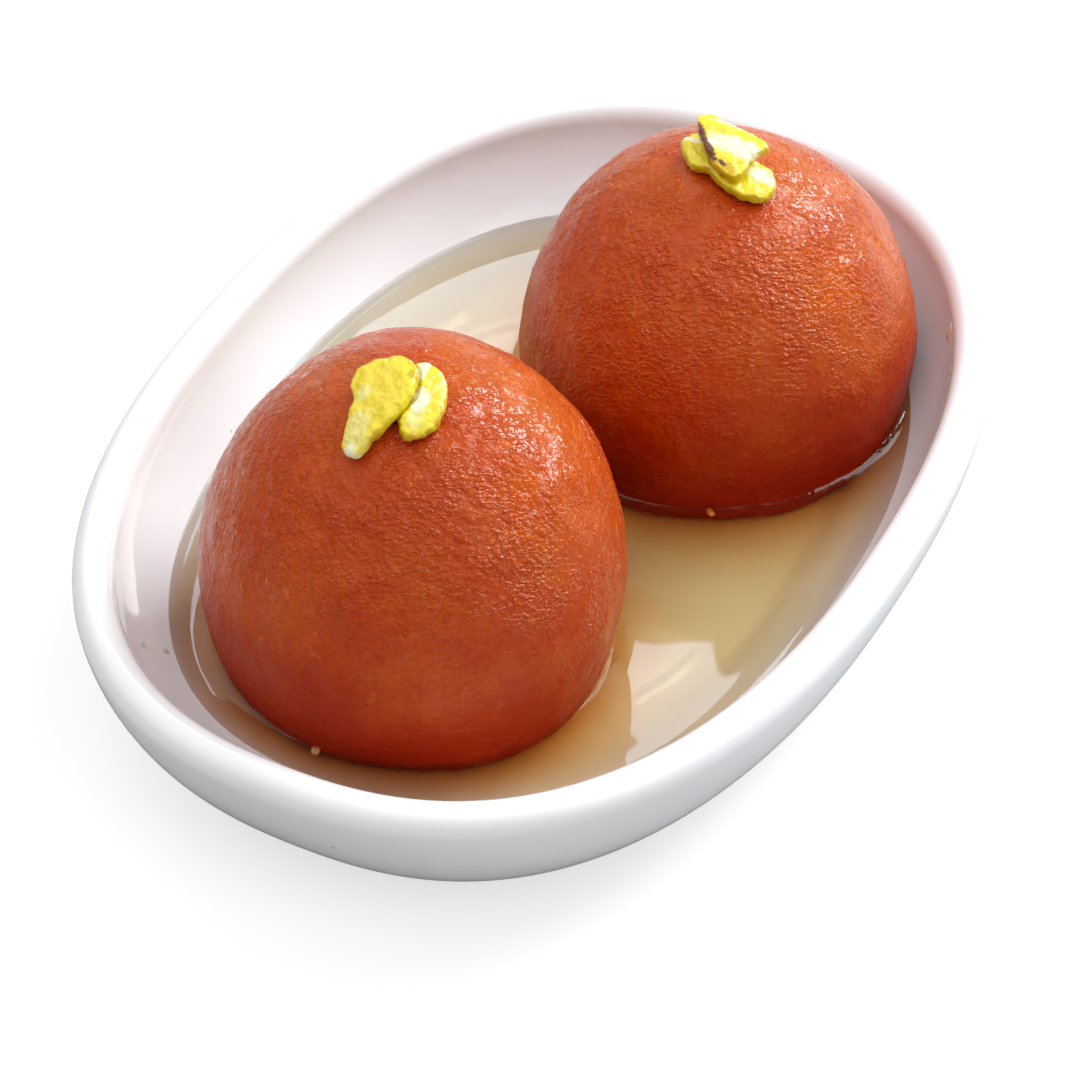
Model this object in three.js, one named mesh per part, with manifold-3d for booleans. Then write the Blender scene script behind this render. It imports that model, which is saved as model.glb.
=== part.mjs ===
// Gulab jamun in its serving dish: two soft balls of fried milk dough standing in a pool of
// sugar syrup, each topped with two slivers of pistachio. Millimetres, +Z up. The origin is the
// middle of the dish's base, and +X runs along the dish.

import * as THREE from "three";
import { mergeVertices } from "three/addons/utils/BufferGeometryUtils.js";
import Module from "manifold-3d";

const wasm = await Module();
wasm.setup();

// Clear gap between pieces that touch.
const GAP = 0.3;

// Dish. Its plan is a superellipse, and each level of its walls is an inset of that plan.
const DISH_LENGTH = 120;
const DISH_WIDTH = 89.4;
const DISH_HEIGHT = 20.4;
const DISH_SQUARENESS = 2.34; // 2 would be an ellipse
const RIM_RADIUS = 2.3; // half the thickness of the rounded rim
const FLOOR_TOP = 4.2;
const FOOT_HEIGHT = 2.6;
const FOOT_INSET = 13;
const FOOT_WIDTH = 3.4;
const FOOT_RECESS = 0.9; // height of the hollow inside the foot ring
const FOOT_FLARE = [1.3, 2.1]; // how far out the ring's side curls into the wall, and at what height
const PARALLEL_INSET = 14; // past this inset the plan only shrinks, so that it never folds
const END_SLOPE = 0.67; // extra slope of the inner wall at the two ends

// A wall swings in from the rim by its spread, steeply at first and then nearly level.
const OUTER_WALL = { foot: FOOT_HEIGHT, start: 0, spread: 9.2, rise: 0.73, roll: 1.53 };
const INNER_WALL = { foot: FLOOR_TOP, start: 2 * RIM_RADIUS, spread: 13, rise: 0.7, roll: 1.6 };

// Syrup
const SYRUP_LEVEL = 9.5;

// Balls. "above" and "below" are the half heights over and under the widest level, and the dome
// and base exponents say how full each half is: 2 is round, more is squarer. "lumps" gives the
// height and the phase of each of the waves that make a ball uneven.
const JAMUNS = {
  jamun_front: {
    middle: [-23.7, 3.1, 20],
    radius: 23.1,
    above: 24.6,
    below: 27.6,
    domeFullness: 1.86,
    baseFullness: 2,
    oval: -0.034,
    turn: -0.37,
    lean: [0.06, -0.04],
    lumps: [[0.16, 6.1], [0.16, 2.6], [0.16, 1.75], [0.1, 5.9]],
  },
  jamun_rear: {
    middle: [26.1, -8.5, 15.3],
    radius: 22.8,
    above: 24.4,
    below: 26.7,
    domeFullness: 1.94,
    baseFullness: 2.15,
    oval: 0.006,
    turn: 0.49,
    lean: [0.05, 0],
    lumps: [[0.12, 3.35], [0.16, 4.62], [0.16, 1.76], [0.09, 5.02]],
  },
};

// The direction of each wave, and with its length how closely the crests follow each other.
const LUMP_WAVES = [[3.1, -2.3, 1.2], [-1.9, 4.7, 3.9], [2.6, 1.9, -3.6], [5.6, 3.4, 4.2]];

// Pistachio slivers. Each is seated on its ball at a bearing round the ball and a slope down from
// its top, lies along its heading, and is tilted about its own long and cross axes (degrees). The
// outline runs round it anticlockwise, as distances along and across from the seat.
const SLIVERS = {
  pistachio_front_long: {
    on: "jamun_front",
    bearing: 193.7,
    slope: 13.8,
    heading: -2.8,
    lift: 1.25,
    roll: 9,
    pitch: 3,
    thickness: 1.5,
    bendRadius: 34,
    outline: [
      [-6.7, 0.2], [-5.6, -0.4], [-1.5, -1.9], [1.9, -2.5], [4.8, -1.4], [5.9, 1.2],
      [5.2, 3.1], [3.6, 5.3], [1.0, 5.0], [-0.5, 3.7], [-2.5, 3.1], [-5.9, 2.2],
    ],
  },
  pistachio_front_round: {
    on: "jamun_front",
    bearing: 238.5,
    slope: 11.2,
    heading: 10.4,
    lift: 0.85,
    roll: 0,
    pitch: 0,
    thickness: 1.3,
    bendRadius: 26,
    outline: [
      [-4.6, 0.3], [-4.4, -0.5], [-3.7, -1.7], [-1.7, -2.6], [0.3, -2.5], [2.3, -2.1],
      [4.0, -1.2], [5.2, 0.9], [5.0, 2.0], [3.2, 3.1], [0.0, 2.9], [-2.6, 1.8],
    ],
  },
  pistachio_rear_under: {
    on: "jamun_rear",
    bearing: 205,
    slope: 6.5,
    heading: -99,
    lift: 0.9,
    roll: 0,
    pitch: 0,
    thickness: 1.4,
    bendRadius: 27,
    outline: [
      [-8.0, 2.1], [-7.3, 0.6], [-5.6, -0.9], [-4.0, -1.6], [-2.1, -1.2], [-0.5, -2.0],
      [2.6, -2.3], [4.9, -1.3], [5.3, 1.0], [3.5, 3.0], [-2.0, 2.9], [-6.8, 3.5],
    ],
  },
  pistachio_rear_top: {
    on: "jamun_rear",
    bearing: 226.2,
    slope: 4.5,
    heading: -122.8,
    lift: 2.65,
    roll: -4,
    pitch: -3,
    thickness: 1.5,
    bendRadius: 60,
    outline: [
      [-7.2, -0.3], [-5.0, -1.5], [-1.6, -2.5], [0.2, -2.7], [2.6, -2.3], [3.4, -1.5],
      [3.3, -0.4], [1.6, 1.3], [1.4, 3.9], [-0.8, 3.7], [-3.9, 2.0], [-6.5, 1.1],
    ],
  },
};

// Fineness of the meshes
const ROUND_STEPS = 64; // round the dish
const WALL_STEPS = 7; // up each wall
const WALL_CROWDING = 1.6; // above 1, a wall's rows lie closer together towards its foot
const RIM_STEPS = 6; // over the rim
const JAMUN_STEPS = [48, 26]; // round and up each ball
const SLIVER_STEPS = [24, 8]; // round and over each sliver
const SLAB_FULLNESS = 5; // how flat a sliver's faces are between its rounded edges
const SEAT_STEP = 0.02; // radians between the points of skin that give a seat its slope
const ROOM_HEIGHT = 60; // height of the room over the dish's floor, which holds each ball whole

const toRadians = THREE.MathUtils.degToRad;

function signedPower(value, power) {
  return Math.sign(value) * Math.abs(value) ** power;
}

// A point of the dish's plan, at an angle round it and at an inset from its edge.
function planPoint(angle, inset) {
  const a = DISH_LENGTH / 2;
  const b = DISH_WIDTH / 2;
  const power = 2 / DISH_SQUARENESS;
  const c = Math.cos(angle);
  const s = Math.sin(angle);
  const edge = new THREE.Vector2(a * signedPower(c, power), b * signedPower(s, power));
  const outward = new THREE.Vector2(signedPower(c, 2 - power) / a, signedPower(s, 2 - power) / b);
  const parallel = Math.min(inset, PARALLEL_INSET);
  edge.addScaledVector(outward.normalize(), -parallel);
  return edge.multiplyScalar((a - inset) / (a - parallel));
}

// One row of the dish's section: its inset, its height, and how much more inset the ends get.
function row(inset, z, endInset = 0) {
  return { inset, z, endInset };
}

const axisRow = (z) => row(DISH_LENGTH / 2, z);

// Rows of a wall from its foot up to a share of its height, kept clear of it by an allowance.
function wallRows(wall, topShare, clear = 0) {
  const rows = [];
  const height = DISH_HEIGHT - RIM_RADIUS - wall.foot;
  const slope = wall === INNER_WALL ? END_SLOPE : 0;
  for (let i = 0; i <= WALL_STEPS; i++) {
    const share = topShare * (i / WALL_STEPS) ** WALL_CROWDING;
    const swing = wall.spread * (1 - share ** wall.rise) ** wall.roll;
    const z = wall.foot + share * height + clear * (1 - i / WALL_STEPS);
    rows.push(row(wall.start + swing + clear, z, slope * swing));
  }
  return rows;
}

// A solid of revolution whose rings follow the dish's plan instead of circles.
function ovalLathe(rows) {
  const profile = rows.map((r) => new THREE.Vector2(DISH_LENGTH / 2 - r.inset, r.z));
  const geometry = new THREE.LatheGeometry(profile, ROUND_STEPS);
  const place = geometry.getAttribute("position");
  for (let i = 0; i < place.count; i++) {
    const { inset, z, endInset } = rows[i % rows.length];
    const step = Math.floor(i / rows.length) % ROUND_STEPS;
    const angle = (step / ROUND_STEPS) * 2 * Math.PI;
    const p = planPoint(angle, inset + endInset * Math.cos(angle) ** 2);
    place.setXYZ(i, p.x, p.y, z);
  }
  return geometry;
}

function dishGeometry() {
  const rimLevel = DISH_HEIGHT - RIM_RADIUS;
  const [flareOut, flareUp] = FOOT_FLARE;
  const rim = [];
  for (let i = 1; i < RIM_STEPS; i++) {
    const turn = (i / RIM_STEPS) * Math.PI;
    rim.push(row(RIM_RADIUS * (1 - Math.cos(turn)), rimLevel + RIM_RADIUS * Math.sin(turn)));
  }
  return ovalLathe([
    axisRow(FOOT_RECESS),
    row(FOOT_INSET + FOOT_WIDTH + FOOT_RECESS, FOOT_RECESS),
    row(FOOT_INSET + FOOT_WIDTH, 0),
    row(FOOT_INSET, 0),
    row(FOOT_INSET - flareOut, flareUp),
    ...wallRows(OUTER_WALL, 1),
    ...rim,
    ...wallRows(INNER_WALL, 1).reverse(),
    axisRow(FLOOR_TOP),
  ]);
}

// The hollow of the dish up to a level, a gap clear of its floor and walls.
function hollowGeometry(level) {
  const rimLevel = DISH_HEIGHT - RIM_RADIUS;
  const share = Math.min(1, (level - FLOOR_TOP) / (rimLevel - FLOOR_TOP));
  const rows = [axisRow(FLOOR_TOP + GAP), ...wallRows(INNER_WALL, share, GAP)];
  if (level > rimLevel) rows.push(row(INNER_WALL.start + GAP, level));
  rows.push(axisRow(level));
  return ovalLathe(rows);
}

// A closed surface made from a sphere, each of whose points is placed from its turn round the
// sphere, its distance out from the sphere's axis (exactly 0 at the poles) and its rise.
function shapedSphere([around, up], placePoint) {
  const geometry = new THREE.SphereGeometry(1, around, up);
  const place = geometry.getAttribute("position");
  for (let i = 0; i < place.count; i++) {
    const turn = (((i % (around + 1)) % around) / around) * 2 * Math.PI;
    const ring = Math.floor(i / (around + 1));
    const tilt = (ring / up) * Math.PI;
    const out = ring === 0 || ring === up ? 0 : Math.sin(tilt);
    const p = placePoint(turn, out, Math.cos(tilt));
    place.setXYZ(i, p.x, p.y, p.z);
  }
  return geometry;
}

// Soft unevenness of a ball's surface: the height of its lumps in one direction from its middle.
function lumpHeight(lumps, direction) {
  return lumps.reduce((sum, [height, phase], i) => {
    const along = direction.dot(new THREE.Vector3(...LUMP_WAVES[i]));
    return sum + height * Math.sin(along + phase);
  }, 0);
}

// A point of a ball's skin, grown outwards by an allowance.
function jamunPoint(jamun, turn, out, rise, grow = 0) {
  const upper = rise > 0;
  const power = 2 / (upper ? jamun.domeFullness : jamun.baseFullness);
  const direction = new THREE.Vector3(out * Math.cos(turn), out * Math.sin(turn), rise);
  const swell = lumpHeight(jamun.lumps, direction) + grow;
  const radius = (jamun.radius + swell) * out ** power;
  const height = ((upper ? jamun.above : jamun.below) + swell) * signedPower(rise, power);
  const flat = new THREE.Vector2(
    radius * Math.cos(turn) * (1 + jamun.oval),
    radius * Math.sin(turn) * (1 - jamun.oval),
  ).rotateAround(new THREE.Vector2(), jamun.turn);
  const [x, y, z] = jamun.middle;
  const [leanX, leanY] = jamun.lean;
  return new THREE.Vector3(x + flat.x + leanX * height, y + flat.y + leanY * height, z + height);
}

function jamunGeometry(jamun, grow = 0) {
  return shapedSphere(JAMUN_STEPS, (...at) => jamunPoint(jamun, ...at, grow));
}

// The seat of a sliver on its ball: where it lies and which way its length, width and face point.
function sliverSeat(sliver) {
  const jamun = JAMUNS[sliver.on];
  const bearing = toRadians(sliver.bearing);
  const slope = toRadians(sliver.slope);
  const heading = toRadians(sliver.heading);
  const skin = (turn, tilt) => jamunPoint(jamun, turn, Math.sin(tilt), Math.cos(tilt));
  const here = skin(bearing, slope);
  const down = skin(bearing, slope + SEAT_STEP).sub(here);
  const aside = skin(bearing + SEAT_STEP, slope).sub(here);
  const face = down.cross(aside).normalize();
  const along = new THREE.Vector3(Math.cos(heading), Math.sin(heading), 0);
  along.addScaledVector(face, -along.dot(face)).normalize();
  along.applyAxisAngle(face.clone().cross(along), -toRadians(sliver.pitch));
  const across = face.clone().cross(along).normalize();
  across.applyAxisAngle(along, -toRadians(sliver.roll));
  const normal = along.clone().cross(across);
  here.addScaledVector(face, sliver.lift);
  return { here, along, across, normal };
}

// A thin slab with the sliver's outline and rounded edges, bent down at its ends.
function sliverGeometry(sliver, grow = 0) {
  const points = sliver.outline.map(([along, across]) => new THREE.Vector3(along, across, 0));
  const edge = new THREE.CatmullRomCurve3(points, true);
  const seat = sliverSeat(sliver);
  const power = 2 / SLAB_FULLNESS;
  return shapedSphere(SLIVER_STEPS, (turn, out, rise) => {
    const rim = edge.getPoint(turn / (2 * Math.PI));
    const flat = rim.setLength((rim.length() + grow) * out ** power);
    const height = (sliver.thickness / 2 + grow) * signedPower(rise, power);
    const drop = flat.lengthSq() / (2 * sliver.bendRadius);
    return seat.here
      .clone()
      .addScaledVector(seat.along, flat.x)
      .addScaledVector(seat.across, flat.y)
      .addScaledVector(seat.normal, height - drop);
  });
}

// A closed geometry as a solid that can be joined and cut.
function toSolid(geometry) {
  const bare = geometry.clone();
  bare.deleteAttribute("normal");
  bare.deleteAttribute("uv");
  const merged = mergeVertices(bare);
  return new wasm.Manifold(
    new wasm.Mesh({
      numProp: 3,
      vertProperties: merged.getAttribute("position").array,
      triVerts: new Uint32Array(merged.index.array),
    }),
  );
}

function toGeometry(solid) {
  const mesh = solid.getMesh();
  const geometry = new THREE.BufferGeometry();
  geometry.setAttribute("position", new THREE.BufferAttribute(mesh.vertProperties, 3));
  geometry.setIndex(new THREE.BufferAttribute(mesh.triVerts, 1));
  return geometry;
}

const porcelain = () =>
  new THREE.MeshStandardMaterial({ color: 0xf4f3f2, roughness: 0.12, metalness: 0 });
const syrup = () =>
  new THREE.MeshStandardMaterial({ color: 0xcfa766, roughness: 0.05, metalness: 0 });
const friedSkin = () =>
  new THREE.MeshStandardMaterial({ color: 0xb24a18, roughness: 0.3, metalness: 0 });
const pistachio = () =>
  new THREE.MeshStandardMaterial({ color: 0xdcc93a, roughness: 0.45, metalness: 0 });

function addPiece(group, name, geometry, material) {
  const mesh = new THREE.Mesh(geometry, material);
  mesh.name = name;
  group.add(mesh);
}

// The syrup fills the dish to its level round the balls.
function addSyrup(group) {
  let pool = toSolid(hollowGeometry(SYRUP_LEVEL));
  for (const jamun of Object.values(JAMUNS)) {
    pool = pool.subtract(toSolid(jamunGeometry(jamun, GAP)));
  }
  addPiece(group, "syrup", toGeometry(pool), syrup());
}

// Each ball has sunk onto the dish's floor, and takes the wall's shape where it leans on it.
function addJamuns(group) {
  const room = toSolid(hollowGeometry(ROOM_HEIGHT));
  for (const [name, jamun] of Object.entries(JAMUNS)) {
    addPiece(group, name, toGeometry(toSolid(jamunGeometry(jamun)).intersect(room)), friedSkin());
  }
}

// Each sliver is hollowed where it lies on its ball and on the sliver listed before it.
function addSlivers(group) {
  const placed = [];
  for (const [name, sliver] of Object.entries(SLIVERS)) {
    let solid = toSolid(sliverGeometry(sliver));
    solid = solid.subtract(toSolid(jamunGeometry(JAMUNS[sliver.on], GAP)));
    for (const other of placed.filter((p) => p.on === sliver.on)) {
      solid = solid.subtract(toSolid(sliverGeometry(other, GAP)));
    }
    placed.push(sliver);
    addPiece(group, name, toGeometry(solid), pistachio());
  }
}

const group = new THREE.Group();
addPiece(group, "dish", dishGeometry(), porcelain());
addSyrup(group);
addJamuns(group);
addSlivers(group);

export default group;
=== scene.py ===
"""A serving of gulab jamun: two fried milk-dough balls in syrup, in an oval porcelain dish.

Sizes in the classes are millimetres and angles are degrees. Meshes are made in metres.
"""

import logging
import math
from collections.abc import Callable, Iterator
from contextlib import contextmanager
from dataclasses import dataclass, field
from enum import Enum

import bpy
import numpy as np
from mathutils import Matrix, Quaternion, Vector
from mathutils.bvhtree import BVHTree
from mathutils.kdtree import KDTree


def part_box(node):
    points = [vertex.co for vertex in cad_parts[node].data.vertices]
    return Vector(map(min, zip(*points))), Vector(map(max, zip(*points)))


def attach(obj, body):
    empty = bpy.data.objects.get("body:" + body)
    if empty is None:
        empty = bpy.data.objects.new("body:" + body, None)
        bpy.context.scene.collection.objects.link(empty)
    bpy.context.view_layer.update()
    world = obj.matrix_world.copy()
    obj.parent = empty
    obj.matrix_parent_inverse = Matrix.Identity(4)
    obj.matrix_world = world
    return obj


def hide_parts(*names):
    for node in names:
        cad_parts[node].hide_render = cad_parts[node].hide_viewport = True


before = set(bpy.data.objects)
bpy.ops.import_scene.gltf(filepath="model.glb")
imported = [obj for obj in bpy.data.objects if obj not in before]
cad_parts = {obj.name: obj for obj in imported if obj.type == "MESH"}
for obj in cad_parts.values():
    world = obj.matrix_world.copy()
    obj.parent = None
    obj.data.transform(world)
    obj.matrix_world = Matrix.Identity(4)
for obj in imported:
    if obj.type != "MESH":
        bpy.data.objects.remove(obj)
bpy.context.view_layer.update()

log = logging.getLogger("gulab_jamun")

MM = 0.001
PER_MM = 1000.0
MERGED_WITHIN = 1e-3
FULL_TURN = 2.0 * math.pi
BODY = "root"
# The name of the mask of painted shade and painted orange bounce light near the balls, on the
# syrup.
BALL_SHADE = "ball_shade"

Colour = tuple[float, float, float]
Triple = tuple[float, float, float]
Span = tuple[float, float]
Piece = bpy.types.Object
Material = bpy.types.Material
Socket = bpy.types.NodeSocket

DAYLIGHT: Colour = (0.94, 1.0, 1.03)
WINDOW: Colour = (0.8, 0.97, 1.2)


class Slot(Enum):
    """The finishes that a piece can take, by name."""

    PORCELAIN = "porcelain"
    SYRUP = "syrup"
    FRIED_SKIN = "fried_skin"
    PISTACHIO = "pistachio"


# ---------------------------------------------------------------- working with operators


def pick(*pieces: Piece) -> None:
    """Selects only these objects.

    Args:
        *pieces: The objects, of which the first becomes the active one.
    """
    bpy.ops.object.select_all(action="DESELECT")
    for piece in pieces:
        piece.select_set(True)
    bpy.context.view_layer.objects.active = pieces[0]


def start(name: str, add: Callable, **settings: object) -> Piece:
    """Adds an object with nothing else selected.

    Args:
        name: The name of the object and of its data.
        add: The operator that adds it.
        **settings: The operator's settings.

    Returns:
        The new object.
    """
    bpy.ops.object.select_all(action="DESELECT")
    add(**settings)
    piece = bpy.context.object
    piece.name = name
    piece.data.name = name
    return piece


@contextmanager
def editing(piece: Piece, everything: bool = True) -> Iterator[None]:
    """Opens a piece in edit mode for the lines under it.

    Args:
        piece: The object to edit.
        everything: Whether all of it is selected first.

    Yields:
        Nothing, once the piece is open.
    """
    pick(piece)
    bpy.ops.object.mode_set(mode="EDIT")
    if everything:
        bpy.ops.mesh.select_all(action="SELECT")
    yield
    bpy.ops.object.mode_set(mode="OBJECT")


def apply_modifier(piece: Piece, kind: str, **settings: object) -> None:
    """Adds a modifier to a piece, sets it up and applies it.

    Args:
        piece: The object whose mesh is changed.
        kind: The modifier's type name.
        **settings: The modifier's properties.
    """
    pick(piece)
    modifier = piece.modifiers.new(kind.title(), kind)
    for name, value in settings.items():
        setattr(modifier, name, value)
    bpy.ops.object.modifier_apply(modifier=modifier.name)


@dataclass(frozen=True)
class Lumps:
    """A layer of soft lumps: their size, their height and how many finer layers they carry."""

    size: float
    height: float
    finer: int = 2

    def press(self, piece: Piece) -> None:
        """Raises and lowers a piece's surface by the lumps.

        Args:
            piece: The object whose mesh is changed.
        """
        texture = bpy.data.textures.new(f"{piece.name} {self.size}", "CLOUDS")
        texture.noise_scale = self.size * MM
        texture.noise_depth = self.finer
        apply_modifier(piece, "DISPLACE", texture=texture, texture_coords="LOCAL",
                       strength=self.height * MM, mid_level=0.5)


def settle(piece: Piece) -> None:
    """Moves a piece's place, turn and scale into its mesh.

    Args:
        piece: The object, which then sits at the origin.
    """
    pick(piece)
    bpy.ops.object.transform_apply(location=True, rotation=True, scale=True)


def read_rows(items: bpy.types.bpy_prop_collection, name: str) -> np.ndarray:
    """Reads three numbers of each item of a mesh.

    Args:
        items: The vertices, normals or faces.
        name: The property to read.

    Returns:
        The numbers, one row for each item.
    """
    flat = np.empty(len(items) * 3)
    items.foreach_get(name, flat)
    return flat.reshape(-1, 3)


def read_points(piece: Piece) -> np.ndarray:
    """Gives a mesh's vertices, in millimetres, one row each."""
    return read_rows(piece.data.vertices, "co") * PER_MM


def read_normals(piece: Piece) -> np.ndarray:
    """Gives a mesh's vertex normals, one row each."""
    return read_rows(piece.data.vertex_normals, "vector")


def write_points(piece: Piece, points: np.ndarray) -> None:
    """Moves a mesh's vertices to these points, in millimetres."""
    piece.data.vertices.foreach_set("co", (points * MM).ravel())
    piece.data.update()


def write_mask(piece: Piece, name: str, values: np.ndarray) -> None:
    """Stores one number for each vertex, which a finish can read by name."""
    layer = piece.data.attributes.new(name, "FLOAT", "POINT")
    layer.data.foreach_set("value", values.astype(np.float32))


def merge_doubles(piece: Piece) -> None:
    """Joins vertices that lie at one place and turns the faces outwards.

    Args:
        piece: The object whose mesh is mended.
    """
    with editing(piece):
        bpy.ops.mesh.remove_doubles(threshold=MERGED_WITHIN * MM)
        bpy.ops.mesh.normals_make_consistent(inside=False)


def copy_node(node: str, name: str) -> Piece:
    """Copies a CAD node into a merged mesh of its own.

    Args:
        node: The node's name.
        name: The name of the copy.

    Returns:
        The copy, which rides on nothing yet.
    """
    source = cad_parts[node]
    piece = source.copy()
    piece.data = source.data.copy()
    piece.name = name
    piece.data.name = name
    piece.parent = None
    piece.hide_viewport = False
    piece.hide_render = False
    for key in list(piece.keys()):
        del piece[key]
    bpy.context.scene.collection.objects.link(piece)
    piece.data.materials.clear()
    merge_doubles(piece)
    return piece


def hand_over(piece: Piece, slot: Slot, material: Material, *nodes: str,
              sharpest: float = 180.0) -> None:
    """Dresses a finished piece, fixes it to the dish's body and hides the CAD nodes that it
    replaces.

    Args:
        piece: The finished object.
        slot: Not used.
        material: That finish.
        *nodes: The CAD nodes that it replaces.
        sharpest: The angle of an edge past which it isn't shaded smooth.
    """
    pick(piece)
    bpy.ops.object.shade_smooth_by_angle(angle=math.radians(sharpest))
    piece.data.materials.clear()
    piece.data.materials.append(material)
    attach(piece, BODY)
    if nodes:
        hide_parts(*nodes)
    triangles = sum(len(face.vertices) - 2 for face in piece.data.polygons)
    log.info("%s: %d triangles", piece.name, triangles)


# ---------------------------------------------------------------- finishes


@dataclass(frozen=True)
class Grain:
    """Soft random patches, and how much of them shows.

    Attributes:
        per_mm: Patches for each millimetre.
        layers: How many finer layers lie on them.
        rough: How strong the finer layers are.
        hidden: The noise's value at which the least of a patch shows.
        shown: The noise's value at which the most of it shows.
        least: That least, as a share.
        most: That most, as a share.
    """

    per_mm: float
    layers: float = 2.0
    rough: float = 0.5
    hidden: float = 0.0
    shown: float = 1.0
    least: float = 0.0
    most: float = 1.0


class Wiring:
    """A node tree, with short calls for what the finishes and the surround share."""

    def __init__(self, tree: bpy.types.NodeTree) -> None:
        """Takes the tree that the calls add to."""
        self.nodes = tree.nodes
        self.links = tree.links

    def add(self, kind: str, inputs: dict | None = None, **settings: object) -> bpy.types.Node:
        """Adds a node.

        Args:
            kind: The node's type name.
            inputs: Values or output sockets for its inputs, by name or number.
            **settings: The node's own properties.

        Returns:
            The new node.
        """
        node = self.nodes.new(kind)
        for name, value in settings.items():
            setattr(node, name, value)
        for name, value in (inputs or {}).items():
            self.feed(node.inputs[name], value)
        return node

    def feed(self, socket: Socket, value: object) -> None:
        """Links an output to a socket, or sets the socket's value.

        Args:
            socket: The input.
            value: An output, or the value that the input takes.
        """
        if isinstance(value, Socket):
            self.links.new(value, socket)
        elif isinstance(value, tuple) and socket.type == "RGBA":
            socket.default_value = (*value, 1.0)
        else:
            socket.default_value = value

    def sums(self, operation: str, *values: object) -> Socket:
        """Does one sum on two or three numbers."""
        return self.add("ShaderNodeMath", dict(enumerate(values)), operation=operation).outputs[0]

    def spread(self, value: object, low: float, high: float,
               least: float = 0.0, most: float = 1.0) -> Socket:
        """Takes a value smoothly from one level to another.

        Args:
            value: The value to spread.
            low: Where it gives the least.
            high: Where it gives the most.
            least: The level at low.
            most: The level at high.

        Returns:
            The level.
        """
        node = self.add("ShaderNodeMapRange", {"Value": value, "From Min": low, "From Max": high,
                                               "To Min": least, "To Max": most},
                        interpolation_type="SMOOTHSTEP")
        return node.outputs["Result"]


class Recipe(Wiring):
    """A material's node tree.

    A Mix node has sockets for every kind of value, and those for colours are known by number.
    """

    MIX_FIRST, MIX_SECOND, MIX_RESULT = 6, 7, 2

    def __init__(self, name: str) -> None:
        """Starts a material that has a Principled shader and an output.

        Args:
            name: The material's name.
        """
        self.material = bpy.data.materials.new(name)
        self.material.use_nodes = True
        super().__init__(self.material.node_tree)
        self.shader = self.nodes["Principled BSDF"]
        self.output = self.nodes["Material Output"]

    def mapped(self, where: Socket, scale: Triple = (1.0, 1.0, 1.0), turn: float = 0.0) -> Socket:
        """Scales coordinates and then turns them round Z.

        Args:
            where: The coordinates.
            scale: The scale along each axis.
            turn: The turn.

        Returns:
            The new coordinates.
        """
        node = self.add("ShaderNodeMapping", {"Vector": where, "Scale": scale,
                                              "Rotation": (0.0, 0.0, math.radians(turn))})
        return node.outputs["Vector"]

    def place(self) -> Socket:
        """Object coordinates, in millimetres."""
        where = self.add("ShaderNodeTexCoord").outputs["Object"]
        return self.mapped(where, (PER_MM, PER_MM, PER_MM))

    def noise(self, where: Socket, grain: Grain) -> Socket:
        """Smooth random values.

        Args:
            where: The coordinates, in millimetres.
            grain: The patches' size and layers.

        Returns:
            Values from about 0 to 1.
        """
        node = self.add("ShaderNodeTexNoise", {"Vector": where, "Scale": grain.per_mm,
                                               "Detail": grain.layers, "Roughness": grain.rough})
        return node.outputs["Fac"]

    def share(self, noise: Socket, grain: Grain) -> Socket:
        """How much of the patches shows where the noise has a value."""
        return self.spread(noise, grain.hidden, grain.shown, grain.least, grain.most)

    def patches(self, where: Socket, grain: Grain) -> Socket:
        """How much of the patches shows at a place."""
        return self.share(self.noise(where, grain), grain)

    def cells(self, where: Socket, per_mm: float) -> Socket:
        """Distance from the nearest of scattered points, in cells."""
        node = self.add("ShaderNodeTexVoronoi", {"Vector": where, "Scale": per_mm})
        return node.outputs["Distance"]

    def blend(self, share: object, first: object, second: object) -> Socket:
        """Mixes two colours.

        Args:
            share: How much of the second colour there is.
            first: The first colour.
            second: The second colour.

        Returns:
            The mixed colour.
        """
        node = self.add("ShaderNodeMix", {"Factor": share}, data_type="RGBA")
        self.feed(node.inputs[self.MIX_FIRST], first)
        self.feed(node.inputs[self.MIX_SECOND], second)
        return node.outputs[self.MIX_RESULT]

    def axis(self, where: Socket, letter: str) -> Socket:
        """One of the X, Y and Z of a vector."""
        return self.add("ShaderNodeSeparateXYZ", {0: where}).outputs[letter]

    def mask(self, name: str) -> Socket:
        """A number that the mesh holds for each vertex."""
        return self.add("ShaderNodeAttribute", attribute_name=name).outputs["Fac"]

    def bump(self, height: Socket, depth: float, strength: float = 1.0) -> Socket:
        """Tilts the surface as relief of a depth in millimetres would."""
        inputs = {"Height": height, "Strength": strength, "Distance": depth * MM}
        return self.add("ShaderNodeBump", inputs).outputs["Normal"]

    def finish(self, **inputs: object) -> Material:
        """Sets the shader's inputs.

        Args:
            **inputs: Values or output sockets, by the input's name with _ for each space.

        Returns:
            The material.
        """
        for name, value in inputs.items():
            self.feed(self.shader.inputs[name.replace("_", " ")], value)
        return self.material


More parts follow.
